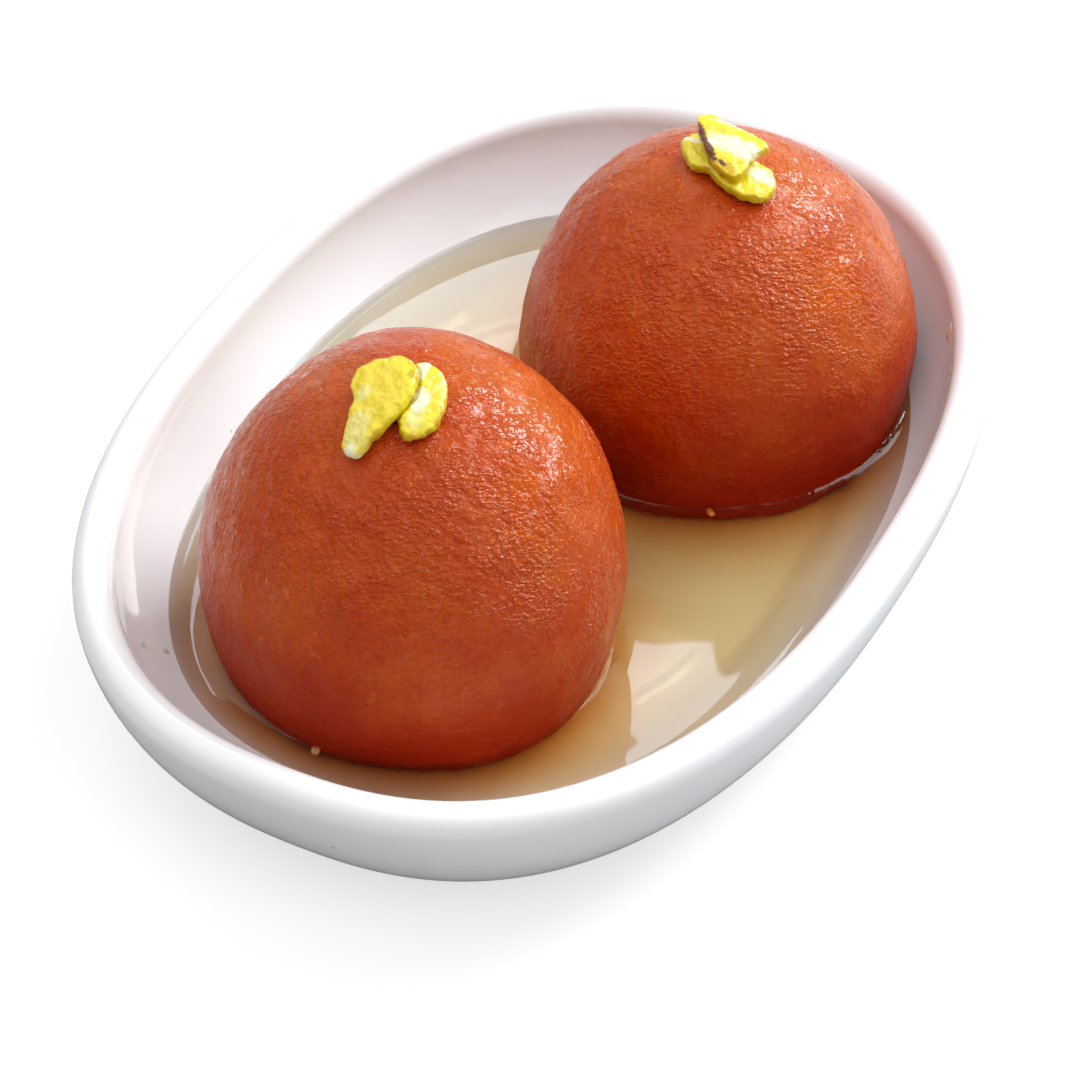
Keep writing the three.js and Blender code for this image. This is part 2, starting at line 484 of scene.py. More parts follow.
@dataclass(frozen=True)
class Porcelain:
    """White glazed porcelain, bare and matt on the ring that it stands on."""

    glaze: Colour = (0.885, 0.88, 0.89)
    cloudy: Colour = (0.865, 0.86, 0.87)
    bare: Colour = (0.66, 0.63, 0.58)
    speck: Colour = (0.30, 0.27, 0.25)
    clouds: Grain = Grain(0.06, 1.0, hidden=0.42, shown=0.66)
    speckled: Grain = Grain(0.05, 1.0, hidden=0.52, shown=0.60)
    specks_per_mm: float = 0.16
    speck_edge: Span = (0.05, 0.03)
    speck_strength: float = 0.6
    bare_edge: Span = (0.35, 0.05)
    ripple: Grain = Grain(0.11, 1.0)
    ripple_depth: float = 0.5
    ripple_strength: float = 0.12
    roughness: float = 0.07
    bare_roughness: float = 0.6

    def material(self) -> Material:
        """Makes the material.

        Returns:
            The glaze, with its few specks and its bare foot.
        """
        mix = Recipe("porcelain glaze")
        where = mix.place()
        colour = mix.blend(mix.patches(where, self.clouds), self.glaze, self.cloudy)
        near = mix.spread(mix.cells(where, self.specks_per_mm), *self.speck_edge)
        spots = mix.sums("MULTIPLY", near, mix.patches(where, self.speckled))
        colour = mix.blend(mix.sums("MULTIPLY", spots, self.speck_strength), colour, self.speck)
        bare = mix.spread(mix.axis(where, "Z"), *self.bare_edge)
        colour = mix.blend(bare, colour, self.bare)
        rough = mix.sums("MULTIPLY_ADD", bare, self.bare_roughness, self.roughness)
        normal = mix.bump(mix.noise(where, self.ripple), self.ripple_depth, self.ripple_strength)
        return mix.finish(Base_Color=colour, Roughness=rough, Normal=normal, IOR=1.5)


@dataclass(frozen=True)
class SugarSyrup:
    """Clear golden syrup, slightly clouded, whose colour comes from its depth and from painted
    shade near the balls.
    """

    tint: Colour = (0.995, 0.82, 0.20)
    density: float = 80.0
    surface: Colour = (1.0, 1.0, 0.98)
    cloudy: Colour = (1.0, 0.97, 0.92)
    ball_shade_tint: Colour = (1.0, 0.36, 0.03)
    clouds: Grain = Grain(0.12, hidden=0.4, shown=0.7)
    swell: Grain = Grain(0.07, 1.0)
    swell_depth: float = 0.4
    swell_strength: float = 0.04

    def material(self) -> Material:
        """Makes the material.

        Returns:
            The syrup, browner near the balls by painted shade and painted orange bounce light.
        """
        mix = Recipe("sugar syrup")
        where = mix.place()
        colour = mix.blend(mix.patches(where, self.clouds), self.surface, self.cloudy)
        # Painted shade and painted orange bounce light: the syrup turns browner near the balls.
        colour = mix.blend(mix.mask(BALL_SHADE), colour, self.ball_shade_tint)
        normal = mix.bump(mix.noise(where, self.swell), self.swell_depth, self.swell_strength)
        inputs = {"Color": self.tint, "Density": self.density}
        inside = mix.add("ShaderNodeVolumeAbsorption", inputs)
        mix.feed(mix.output.inputs["Volume"], inside.outputs[0])
        return mix.finish(Base_Color=colour, Roughness=0.02, IOR=1.44, Normal=normal,
                          Transmission_Weight=1.0)


@dataclass(frozen=True)
class FriedSkin:
    """Fried milk-dough skin, wrinkled and soaked, darker towards the bottom: partly soaked skin,
    partly painted shade.
    """

    middle: Colour = (0.475, 0.061, 0.002)
    light: Colour = (0.53, 0.092, 0.003)
    dark: Colour = (0.28, 0.016, 0.0006)
    fleck: Colour = (0.76, 0.20, 0.03)
    browned: Grain = Grain(0.10, 4.0, 0.6, hidden=0.38, shown=0.66)
    pores: Grain = Grain(1.4, 3.0, 0.6, hidden=0.56, shown=0.36, most=0.22)
    flecks: Grain = Grain(0.5, hidden=0.66, shown=0.80, most=0.6)
    waterline: float = 9.5
    # Painted shade, partly: these set how the skin darkens towards the bottom, as soaked skin and
    # as shade.
    soak_and_shade_below: Span = (24.0, 1.5)
    soak_and_shade_strength: float = 0.9
    soak_and_shade_raggedness: float = 6.0
    swellings: Grain = Grain(0.25, 1.0, hidden=0.38, shown=0.56, least=0.3)
    swelling_height: float = 2.2
    folds: Grain = Grain(2.3, hidden=0.40, shown=0.60)
    fold_height: float = 0.28
    fold_bearing: float = 59.7
    fold_stretch: float = 0.6
    creased: Span = (18.0, 34.0)
    least_creased: float = 0.3
    under_glaze: float = 0.35
    wet: float = 0.78
    wet_in_syrup: float = 0.28

    def material(self) -> Material:
        """Makes the material.

        Returns:
            The skin under its wet coat, whose wrinkles are deeper than its own.
        """
        mix = Recipe("fried milk-dough skin")
        where = mix.place()
        height = mix.axis(where, "Z")
        browned = mix.noise(where, self.browned)
        colour = mix.blend(mix.share(browned, self.browned), self.middle, self.light)
        colour = mix.blend(mix.patches(where, self.pores), colour, self.dark)
        colour = mix.blend(mix.patches(where, self.flecks), colour, self.fleck)
        # Painted shade, partly: the skin is darker towards the bottom, for the soaked skin and for
        # the shade that falls low on the ball.
        ragged = mix.sums("MULTIPLY_ADD", browned, self.soak_and_shade_raggedness, height)
        low = mix.spread(ragged, *(self.waterline + above for above in self.soak_and_shade_below))
        colour = mix.blend(mix.sums("MULTIPLY", low, self.soak_and_shade_strength), colour, self.dark)
        creased = mix.spread(height, *self.creased, least=self.least_creased)
        folds = self.wrinkles(mix, where, creased)
        wet = mix.sums("MULTIPLY_ADD", low, self.wet_in_syrup - self.wet, self.wet)
        return mix.finish(Base_Color=colour, Roughness=0.42, IOR=1.45, Specular_IOR_Level=0.1,
                          Normal=mix.bump(folds, self.fold_height * self.under_glaze),
                          Coat_Weight=wet, Coat_Roughness=0.03, Coat_IOR=1.48,
                          Coat_Normal=mix.bump(folds, self.fold_height))

    def wrinkles(self, mix: Recipe, where: Socket, creased: Socket) -> Socket:
        """The fine crinkle of the skin, over the relief that the mesh holds.

        Args:
            mix: The material's recipe.
            where: The coordinates, in millimetres.
            creased: How strong the crinkle is, from 0 to 1.

        Returns:
            How high the skin stands, as a share of the fold height.
        """
        swellings = mix.noise(where, self.swellings)
        turned = mix.mapped(where, turn=self.fold_bearing)
        drawn = mix.mapped(turned, (self.fold_stretch, 1.0, 1.0))
        folds = mix.sums("MULTIPLY", mix.patches(drawn, self.folds), creased)
        folds = mix.sums("MULTIPLY", mix.share(swellings, self.swellings), folds)
        return mix.sums("MULTIPLY_ADD", swellings, self.swelling_height, folds)


class Tone(Enum):
    """The colours of a cut pistachio, beside its yellow flesh; the gold one is also used as painted
    shadow.
    """

    RIM = "rim"
    GOLD_AND_SHADE = "gold_and_shade"
    PALE = "pale"
    WHITE = "white"
    SKIN = "skin"


@dataclass(frozen=True)
class CutNut:
    """A cut pistachio: yellow flesh, with the other tones where the mesh says that they show."""

    flesh: Colour = (0.86, 0.67, 0.03)
    rim: Colour = (0.56, 0.42, 0.003)
    # Gold is the nut's own tone, and also painted shadow where one sliver lies in another's shade.
    gold_and_shade: Colour = (0.62, 0.38, 0.003)
    pale: Colour = (0.84, 0.72, 0.20)
    white: Colour = (0.92, 0.85, 0.56)
    skin: Colour = (0.15, 0.045, 0.022)
    fine: Grain = Grain(2.4, 4.0, 0.6)
    coarse: Grain = Grain(0.9)
    pits: Grain = Grain(4.0, 3.0, 0.6, hidden=0.50, shown=0.34, most=0.1)
    tear: float = 1.2
    tone_edge: Span = (0.2, 0.8)
    pit_height: float = 0.35
    relief_depth: float = 0.12
    relief_strength: float = 0.5

    def material(self, name: str) -> Material:
        """Makes the material.

        Args:
            name: The material's name.

        Returns:
            The nut, whose tones meet along torn edges.
        """
        mix = Recipe(name)
        where = mix.place()
        fine = mix.noise(where, self.fine)
        torn = mix.sums("SUBTRACT", mix.sums("ADD", fine, mix.noise(where, self.coarse)), 1.0)
        colour = self.flesh
        for tone in Tone:
            edge = mix.sums("MULTIPLY_ADD", torn, self.tear, mix.mask(tone.value))
            colour = mix.blend(mix.spread(edge, *self.tone_edge), colour, getattr(self, tone.value))
        pits = mix.noise(where, self.pits)
        colour = mix.blend(mix.share(pits, self.pits), colour, self.gold_and_shade)
        relief = mix.sums("MULTIPLY_ADD", pits, self.pit_height, fine)
        normal = mix.bump(relief, self.relief_depth, self.relief_strength)
        return mix.finish(Base_Color=colour, Roughness=0.38, IOR=1.46, Normal=normal,
                          Subsurface_Weight=0.5, Subsurface_Radius=(1.0, 0.8, 0.25),
                          Subsurface_Scale=0.002, Coat_Weight=0.6, Coat_Roughness=0.1)


@dataclass(frozen=True)
class Crumb:
    """Soaked crumbs and dried smears: a warm colour that is broken up by fine grain."""

    name: str
    light: Colour
    dark: Colour
    grain: Grain = Grain(3.0, 3.0, hidden=0.35, shown=0.65)
    relief_depth: float = 0.1
    relief_strength: float = 0.6

    def material(self) -> Material:
        """Makes the material.

        Returns:
            The crumb's finish.
        """
        mix = Recipe(self.name)
        grain = mix.noise(mix.place(), self.grain)
        colour = mix.blend(mix.share(grain, self.grain), self.dark, self.light)
        normal = mix.bump(grain, self.relief_depth, self.relief_strength)
        return mix.finish(Base_Color=colour, Roughness=0.3, IOR=1.45, Normal=normal,
                          Coat_Weight=0.5, Coat_Roughness=0.1)


@dataclass(frozen=True)
class Paper:
    """The pale, matt floor, which the camera sees as bright as a light table."""

    light: Colour = (0.47, 0.47, 0.472)
    shade: Colour = (0.45, 0.45, 0.452)
    clouds: Grain = Grain(0.01)
    glow: float = 0.62

    def material(self) -> Material:
        """Makes the material.

        Returns:
            The floor's finish.
        """
        mix = Recipe("pale paper")
        colour = mix.blend(mix.noise(mix.place(), self.clouds), self.light, self.shade)
        seen = mix.add("ShaderNodeLightPath").outputs["Is Camera Ray"]
        return mix.finish(Base_Color=colour, Roughness=0.9, Emission_Color=(1.0, 1.0, 1.0),
                          Emission_Strength=mix.sums("MULTIPLY", seen, self.glow))


# ---------------------------------------------------------------- the dish and its plan


@dataclass(frozen=True)
class Row:
    """One row of an oval piece's section.

    Attributes:
        inset: How far it lies inside the dish's outline.
        height: Its height above the table.
        end_inset: How much further inside it lies at the dish's two ends.
    """

    inset: float
    height: float
    end_inset: float = 0.0


@dataclass(frozen=True)
class OvalPlan:
    """The dish's plan: a superellipse, and the insets of it at each level.

    Attributes:
        half_length: Half the dish's length.
        half_width: Half its width.
        squareness: The superellipse's power, which is 2 for an ellipse.
        parallel_inset: How far in a ring stays parallel to the outline, before it shrinks.
    """

    half_length: float
    half_width: float
    squareness: float = 2.34
    parallel_inset: float = 14.0

    def ring(self, row: Row, around: int) -> np.ndarray:
        """Gives the points of one ring.

        Args:
            row: The ring's inset and height.
            around: How many points it has.

        Returns:
            The points, in millimetres, anticlockwise from +X.
        """
        power = 2.0 / self.squareness
        angle = np.arange(around) / around * FULL_TURN
        sides = np.stack([np.cos(angle), np.sin(angle)], axis=1)
        halves = np.array([self.half_length, self.half_width])
        edge = halves * np.sign(sides) * np.abs(sides) ** power
        outward = np.sign(sides) * np.abs(sides) ** (2.0 - power) / halves
        outward /= np.linalg.norm(outward, axis=1, keepdims=True)
        inset = (row.inset + row.end_inset * sides[:, 0] ** 2)[:, None]
        parallel = np.minimum(inset, self.parallel_inset)
        shrink = (self.half_length - inset) / (self.half_length - parallel)
        flat = (edge - outward * parallel) * np.maximum(shrink, 0.0)
        return np.column_stack([flat, np.full(around, row.height)])

    def solid(self, name: str, rows: list[Row], around: int) -> Piece:
        """Draws a ring out through the rows of a closed section.

        Args:
            name: The name of the piece.
            rows: The section, from the axis to the axis.
            around: How many points each ring has.

        Returns:
            The closed piece.
        """
        piece = start(name, bpy.ops.mesh.primitive_circle_add, vertices=around,
                      radius=self.half_length * MM)
        with editing(piece):
            for _ in rows[1:]:
                bpy.ops.mesh.extrude_edges_move()
        write_points(piece, np.concatenate([self.ring(row, around) for row in rows]))
        # The rings on the axis are points by now, and merging closes them.
        merge_doubles(piece)
        return piece


@dataclass
class Dish:
    """The oval porcelain dish: a foot ring, curved walls and a thick rounded rim.

    A wall's spread is how far it leans in towards its foot, and its rise and roll are the powers
    that bend it. At the dish's ends the inner wall lies further in, by end_slope of its spread.
    """

    rim_radius: float = 2.3
    floor_top: float = 4.2
    foot_height: float = 2.6
    foot_inset: float = 13.0
    foot_width: float = 3.4
    foot_recess: float = 0.9
    foot_round: float = 0.5
    foot_lip: float = 0.7
    recess_insets: Triple = (48.0, 36.0, 26.0)
    flare_out: float = 1.3
    flare_up: float = 2.1
    flare_steps: int = 6
    outer_spread: float = 9.2
    outer_rise: float = 0.73
    outer_roll: float = 1.53
    inner_spread: float = 13.0
    inner_rise: float = 0.7
    inner_roll: float = 1.6
    end_slope: float = 0.67
    around: int = 256
    wall_steps: int = 22
    rim_steps: int = 18
    floor_steps: int = 8
    crowding: float = 1.6
    glaze: Porcelain = Porcelain()
    plan: OvalPlan = field(init=False)
    rim_level: float = field(init=False)

    def __post_init__(self) -> None:
        """Takes the plan and the rim's level from the CAD dish."""
        low, high = (corner * PER_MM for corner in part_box("dish"))
        self.plan = OvalPlan((high.x - low.x) / 2, (high.y - low.y) / 2)
        self.rim_level = high.z - self.rim_radius

    def outer_wall(self) -> list[Row]:
        """Draws the outer wall.

        Returns:
            Its rows, from its foot to the rim.
        """
        height = self.rim_level - self.foot_height
        rows = []
        for step in range(self.wall_steps + 1):
            share = (step / self.wall_steps) ** self.crowding
            swing = self.outer_spread * (1 - share ** self.outer_rise) ** self.outer_roll
            rows.append(Row(swing, self.foot_height + share * height))
        return rows

    def inner_wall(self, top: float, reach: float = 0.0) -> list[Row]:
        """Draws the inner wall.

        Args:
            top: The level of the last row.
            reach: How far the rows lie inside the porcelain.

        Returns:
            Its rows, from the floor up.
        """
        height = self.rim_level - self.floor_top
        highest = (top - self.floor_top) / height
        rows = []
        for step in range(self.wall_steps + 1):
            share = highest * (step / self.wall_steps) ** self.crowding
            swing = self.inner_spread * (1 - share ** self.inner_rise) ** self.inner_roll
            level = self.floor_top + share * height - reach * (1 - step / self.wall_steps)
            inset = 2 * self.rim_radius + swing - reach
            rows.append(Row(inset, level, self.end_slope * swing))
        return rows

    def rim(self) -> list[Row]:
        """Draws the half-round rim.

        Returns:
            Its rows, from outside to inside.
        """
        turns = [math.pi * step / self.rim_steps for step in range(1, self.rim_steps)]
        return [Row(self.rim_radius * (1 - math.cos(turn)),
                    self.rim_level + self.rim_radius * math.sin(turn)) for turn in turns]

    def foot(self) -> list[Row]:
        """Draws the underside and the foot ring, whose two edges are softened.

        Returns:
            Their rows, from the axis out.
        """
        inner = self.foot_inset + self.foot_width
        soft = self.foot_round
        lip = self.foot_lip * soft
        insets = (self.plan.half_length, *self.recess_insets, inner + 2.2 * soft)
        rows = [Row(inset, self.foot_recess) for inset in insets]
        # The ring's inner edge, its flat underside and its outer edge.
        rows += [Row(inner + soft, self.foot_recess - 0.4 * soft),
                 Row(inner + 0.3 * soft, 0.2 * soft), Row(inner - 0.5 * soft, 0.0),
                 Row(self.foot_inset + soft, 0.0), Row(self.foot_inset + 0.3 * soft, 0.15 * soft),
                 Row(self.foot_inset, lip)]
        for step in range(1, self.flare_steps):
            share = step / self.flare_steps
            rows.append(Row(self.foot_inset - self.flare_out * share ** 2,
                            lip + (self.flare_up - lip) * share))
        return rows

    def floor(self) -> list[Row]:
        """Draws the floor inside.

        Returns:
            Its rows, from the wall to the axis.
        """
        edge = 2 * self.rim_radius + self.inner_spread
        rows = []
        for step in range(1, self.floor_steps + 1):
            inset = edge + (self.plan.half_length - edge) * step / self.floor_steps
            ends = self.end_slope * self.inner_spread * (1 - step / self.floor_steps)
            rows.append(Row(inset, self.floor_top, ends))
        return rows

    def build(self) -> Piece:
        """Builds the dish and gives it its glaze.

        Returns:
            The finished dish.
        """
        inner = self.inner_wall(self.rim_level)[::-1]
        rows = self.foot() + self.outer_wall() + self.rim() + inner + self.floor()
        piece = self.plan.solid("dish_porcelain", rows, self.around)
        hand_over(piece, Slot.PORCELAIN, self.glaze.material(), "dish")
        return piece


# ---------------------------------------------------------------- balls


@dataclass
class Jamun:
    """One ball: the CAD ball's form with the relief of its fried skin.

    Attributes:
        node: The CAD ball's name.
        dent: The place of a small dent, if the ball has one.
        dent_depth: How deep the dent is.
        dent_radius: How wide it is from its middle.
        cuts: How often each side of the first cube is cut.
        smoothing: How many times the form is smoothed.
        plump: What the smoothing takes off, and this gives back.
        relief: The skin's lumps, from soft unevenness down to its wrinkles.
    """

    node: str
    dent: Triple | None = None
    dent_depth: float = 0.45
    dent_radius: float = 1.5
    cuts: int = 31
    smoothing: int = 12
    plump: float = 0.06
    relief: tuple[Lumps, ...] = (Lumps(6.0, 0.45), Lumps(1.3, 0.16), Lumps(0.6, 0.13, finer=1))

    def form(self) -> Piece:
        """Draws an even quad ball onto the CAD ball.

        Returns:
            The smooth ball.
        """
        low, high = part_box(self.node)
        size = (high - low).x
        piece = start(self.node + "_skin", bpy.ops.mesh.primitive_cube_add, size=size,
                      location=(low + high) / 2)
        with editing(piece):
            bpy.ops.mesh.subdivide(number_cuts=self.cuts)
        apply_modifier(piece, "CAST", factor=1.0, use_radius_as_size=False, size=size / 2)
        apply_modifier(piece, "SHRINKWRAP", target=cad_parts[self.node],
                       wrap_method="PROJECT", use_negative_direction=True,
                       use_positive_direction=True)
        apply_modifier(piece, "SMOOTH", factor=0.5, iterations=self.smoothing)
        apply_modifier(piece, "DISPLACE", strength=self.plump * MM, mid_level=0.0)
        apply_modifier(piece, "SUBSURF", levels=2, render_levels=2)
        return piece

    def press_dent(self, piece: Piece) -> None:
        """Presses a small round dent into the skin.

        Args:
            piece: The ball, at its place.
        """
        points = read_points(piece)
        away = np.linalg.norm(points - np.array(self.dent), axis=1) / self.dent_radius
        push = self.dent_depth * np.exp(-away ** 2)
        write_points(piece, points - read_normals(piece) * push[:, None])

    def build(self, skin: Material) -> Piece:
        """Builds the ball.

        Args:
            skin: The finish that both balls share.

        Returns:
            The finished ball.
        """
        piece = self.form()
        for lumps in self.relief:
            lumps.press(piece)
        settle(piece)
        if self.dent:
            self.press_dent(piece)
        hand_over(piece, Slot.FRIED_SKIN, skin, self.node)
        return piece


# ---------------------------------------------------------------- syrup


@dataclass
class SyrupPool:
    """The syrup: it fills the dish to its level and climbs where it meets a wall or a ball.

    Attributes:
        dish: The dish that it fills.
        climb: How high it climbs.
        climb_width: How far out the climb fades to about a third.
        climb_limit: How far inside a ball it goes on, in climb widths.
        reach: How far the pool reaches into the porcelain.
        overlap: How far it reaches into the balls.
        around: How many points a ring of the pool has.
        rings: How many rings the surface has.
        crowding: How much closer the rings lie near the wall.
        bands: The widths of the bands round the balls that are split, and their cells' sizes.
        upright: How steeply up a face points, at least, that is split.
        shore_steps: In how many steps a ball's edge is measured.
        shore_band: How close to the level a ball's points are for its middle to be measured.
        surface_band: How far below the level the surface's points may lie.
        ball_shade_width: How far out from a ball the painted shade near it fades to about a third.
        sharpest: The angle of an edge past which it isn't shaded smooth.
        balls: The names of the CAD balls that stand in it.
        syrup: Its finish.
        level: The CAD syrup's level.
        shores: For each ball, a middle inside it and its radii round that, at the level.
    """

    dish: Dish
    climb: float = 0.45
    climb_width: float = 0.9
    climb_limit: float = 1.5
    reach: float = 0.15
    overlap: float = 1.0
    around: int = 220
    rings: int = 60
    crowding: float = 1.4
    bands: tuple[Span, ...] = ((3.2, 0.6), (2.4, 0.42), (1.6, 0.3), (1.1, 0.2))
    upright: float = 0.3
    shore_steps: int = 720
    shore_band: float = 0.5
    surface_band: float = 0.1
    ball_shade_width: float = 4.0
    sharpest: float = 50.0
    balls: tuple[str, ...] = ("jamun_front", "jamun_rear")
    syrup: SugarSyrup = SugarSyrup()
    level: float = field(init=False)
    shores: list[tuple[np.ndarray, np.ndarray]] = field(init=False)

    def __post_init__(self) -> None:
        """Takes the level from the CAD syrup."""
        self.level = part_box("syrup")[1].z * PER_MM

    def surface(self, edge: Row) -> list[Row]:
        """Draws the syrup's top.

        Args:
            edge: The row at which it meets the wall.

        Returns:
            Its rows, from the wall to the axis.
        """
        span = self.dish.plan.half_length - edge.inset
        rows = []
        for step in range(1, self.rings + 1):
            share = step / self.rings
            away = span * share ** self.crowding
            height = self.level + self.climb * math.exp(-away / self.climb_width)
            rows.append(Row(edge.inset + away, height, edge.end_inset * (1 - share)))
        return rows

    def build(self, skins: list[Piece]) -> Piece:
        """Builds the syrup round the balls.

        Args:
            skins: The finished balls.

        Returns:
            The closed pool.
        """
        floor = [Row(self.dish.plan.half_length, self.dish.floor_top - self.reach)]
        wall = self.dish.inner_wall(self.level + self.climb, self.reach)
        rows = floor + wall + self.surface(wall[-1])
        piece = self.dish.plan.solid("syrup_pool", rows, self.around)
        self.shores = [self.shore(skin) for skin in skins]
        for band, cell in self.bands:
            self.refine(piece, band, cell)
        self.raise_at_balls(piece)
        self.cut_out_balls(piece)
        # Painted shade: the syrup is browner near each ball, standing in for the balls' shadow and
        # their orange bounce light.
        gaps = np.maximum(self.gaps(read_points(piece)), 0.0)
        write_mask(piece, BALL_SHADE, np.exp(-gaps / self.ball_shade_width))
        material = self.syrup.material()
        hand_over(piece, Slot.SYRUP, material, "syrup", sharpest=self.sharpest)
        return piece

    def shore(self, skin: Piece) -> tuple[np.ndarray, np.ndarray]:
        """Finds where a ball meets the syrup.

        Args:
            skin: The finished ball.

        Returns:
            A middle inside the ball, and the ball's radius round it for each step of the turn.
        """
        tree = BVHTree.FromObject(skin, bpy.context.evaluated_depsgraph_get())
        points = read_points(skin)
        level = points[np.abs(points[:, 2] - self.level) < self.shore_band]
        middle = np.array([*(level.min(axis=0) + level.max(axis=0))[:2] / 2, self.level])
        centre = Vector(middle) * MM
        radii = []
        for turn in np.linspace(0.0, FULL_TURN, self.shore_steps, endpoint=False):
            way = Vector((math.cos(turn), math.sin(turn), 0.0))
            radii.append(tree.ray_cast(centre, way)[3] * PER_MM)
        return middle[:2], np.array(radii)

    def gaps(self, places: np.ndarray) -> np.ndarray:
        """Tells how far places on the syrup are outside the nearest ball.

        Args:
            places: The places, in millimetres, one row each.

        Returns:
            The distances, in millimetres, which are negative inside a ball.
        """
        nearest = np.full(len(places), np.inf)
        for middle, radii in self.shores:
            away = places[:, :2] - middle
            turn = np.arctan2(away[:, 1], away[:, 0]) % FULL_TURN
            steps = turn / FULL_TURN * len(radii)
            edge = np.interp(steps, np.arange(len(radii) + 1), np.append(radii, radii[0]))
            nearest = np.minimum(nearest, np.hypot(away[:, 0], away[:, 1]) - edge)
        return nearest

    def refine(self, piece: Piece, band: float, cell: float) -> None:
        """Splits the surface's large faces round the balls.

        Args:
            piece: The pool.
            band: How far from a ball a face's middle may lie.
            cell: The side of a square face that stays whole.
        """
        faces = piece.data.polygons
        centres = read_rows(faces, "center") * PER_MM
        chosen = centres[:, 2] > self.level - self.surface_band
        chosen &= np.abs(self.gaps(centres)) < band
        chosen &= np.array([face.normal.z > self.upright and face.area > (cell * MM) ** 2
                            for face in faces])
        with editing(piece, everything=False):
            bpy.ops.mesh.select_mode(type="FACE")
            bpy.ops.mesh.select_all(action="DESELECT")
        piece.data.polygons.foreach_set("select", chosen)
        with editing(piece, everything=False):
            bpy.ops.mesh.subdivide(number_cuts=1)

    def raise_at_balls(self, piece: Piece) -> None:
        """Lifts the surface to a soft edge round each ball.

        Args:
            piece: The pool.
        """
        points = read_points(piece)
        top = points[:, 2] > self.level - self.surface_band
        away = np.maximum(self.gaps(points[top]), -self.climb_limit * self.climb_width)
        lifted = self.level + self.climb * np.exp(-away / self.climb_width)
        points[top, 2] = np.maximum(points[top, 2], lifted)
        write_points(piece, points)

    def cut_out_balls(self, piece: Piece) -> None:
        """Cuts the balls' room out of the pool, a little less than the balls, so no gap shows.

        Args:
            piece: The pool.
        """
        for ball in self.balls:
            cutter = copy_node(ball, "cutter")
            apply_modifier(cutter, "DISPLACE", strength=-self.overlap * MM, mid_level=0.0)
            apply_modifier(piece, "BOOLEAN", object=cutter, operation="DIFFERENCE",
                           solver="MANIFOLD")
            bpy.data.objects.remove(cutter)


# ---------------------------------------------------------------- pistachio


@dataclass(frozen=True)
class Patch:
    """An oval patch of a tone on a sliver.

    Attributes:
        tone: The tone.
        along: Its middle, along the sliver.
        across: Its middle, across the sliver.
        long: Half its length.
        wide: Half its width.
        turn: How far its length is turned from the sliver's.
        reach: How far from its middle it ends, in shares of its halves, as it fades out.
    """

    tone: Tone
    along: float
    across: float
    long: float
    wide: float
    turn: float = 0.0
    reach: float = 1.5

    def share(self, own: np.ndarray) -> np.ndarray:
        """Tells how much the patch covers some places.

        Args:
            own: The places on the sliver's own axes, one row each.

        Returns:
            The cover, from 1 within the patch to 0 well outside.
        """
        turn = math.radians(self.turn)
        along, across = own[:, 0] - self.along, own[:, 1] - self.across
        ahead = (along * math.cos(turn) + across * math.sin(turn)) / self.long
        aside = (across * math.cos(turn) - along * math.sin(turn)) / self.wide
        return np.clip(self.reach - np.hypot(ahead, aside), 0.0, 1.0)


@dataclass
class Sliver:
    """One pistachio sliver: the CAD sliver with torn edges and the colours of the cut nut.

    Attributes:
        node: The CAD sliver's name.
        heading: The bearing of its length.
        patches: Its patches of other tones.
        rim_width: How far in from its edge the rim's tone reaches.
        rim_from: How far along it the rim begins.
        edge_tilt: How far up a normal points, at most, where the edge is.
        voxel: The size of its mesh's cells.
        smoothing: How many times its form is smoothed.
        relief: The lumps of its torn surface.
        nut: Its finish.
    """

    node: str
    heading: float
    patches: tuple[Patch, ...]
    rim_width: float = 0.7
    rim_from: float = -20.0
    edge_tilt: float = 0.5
    voxel: float = 0.13
    smoothing: int = 9
    relief: tuple[Lumps, ...] = (Lumps(1.3, 0.5), Lumps(0.5, 0.1))
    nut: CutNut = CutNut()

    def build(self) -> Piece:
        """Builds the sliver and stores where its colours lie.

        Returns:
            The finished sliver.
        """
        piece = copy_node(self.node, self.node + "_nut")
        apply_modifier(piece, "REMESH", mode="VOXEL", voxel_size=self.voxel * MM)
        apply_modifier(piece, "SMOOTH", factor=0.5, iterations=self.smoothing)
        for lumps in self.relief:
            lumps.press(piece)
        self.store_masks(piece)
        hand_over(piece, Slot.PISTACHIO, self.nut.material(piece.name + " finish"), self.node)
        return piece

    def own_axes(self, points: np.ndarray) -> tuple[np.ndarray, np.ndarray]:
        """Sets a sliver's points on its own axes.

        Args:
            points: The points, one row each.

        Returns:
            Each point's place along, across and above the sliver's middle, and the way up.
        """
        middle = points.mean(axis=0)
        flattest = np.linalg.svd(points - middle, full_matrices=False)[2][2]
        up = flattest * np.sign(flattest[2])
        turn = math.radians(self.heading)
        along = np.array([math.cos(turn), math.sin(turn), 0.0])
        along -= up * along.dot(up)
        along /= np.linalg.norm(along)
        return (points - middle) @ np.stack([along, np.cross(up, along), up], axis=1), up

    def store_masks(self, piece: Piece) -> None:
        """Stores how much of each tone shows at each vertex.

        Args:
            piece: The sliver.
        """
        own, up = self.own_axes(read_points(piece))
        edge = np.flatnonzero(np.abs(read_normals(piece) @ up) < self.edge_tilt)
        tree = KDTree(len(edge))
        for i in edge:
            tree.insert(own[i], int(i))
        tree.balance()
        away = np.array([tree.find(place)[2] for place in own])
        rim = np.clip(1.0 - away / self.rim_width, 0.0, 1.0) * (own[:, 0] > self.rim_from)
        shown = {tone: np.zeros(len(own)) for tone in Tone} | {Tone.RIM: rim}
        for patch in self.patches:
            shown[patch.tone] = np.maximum(shown[patch.tone], patch.share(own))
        for tone, mask in shown.items():
            write_mask(piece, tone.value, mask)


# ---------------------------------------------------------------- small things


@dataclass(frozen=True)
class Spot:
    """Where a small thing lies.

    Attributes:
        place: The place near which it lies on its host.
        size: Half its length.
        width: Its width as a share of its length.
        height: Its height as a share of its length.
        turn: How far it is turned on its host.
    """

    place: Triple
    size: float
    width: float = 1.0
    height: float = 0.5
    turn: float = 0.0


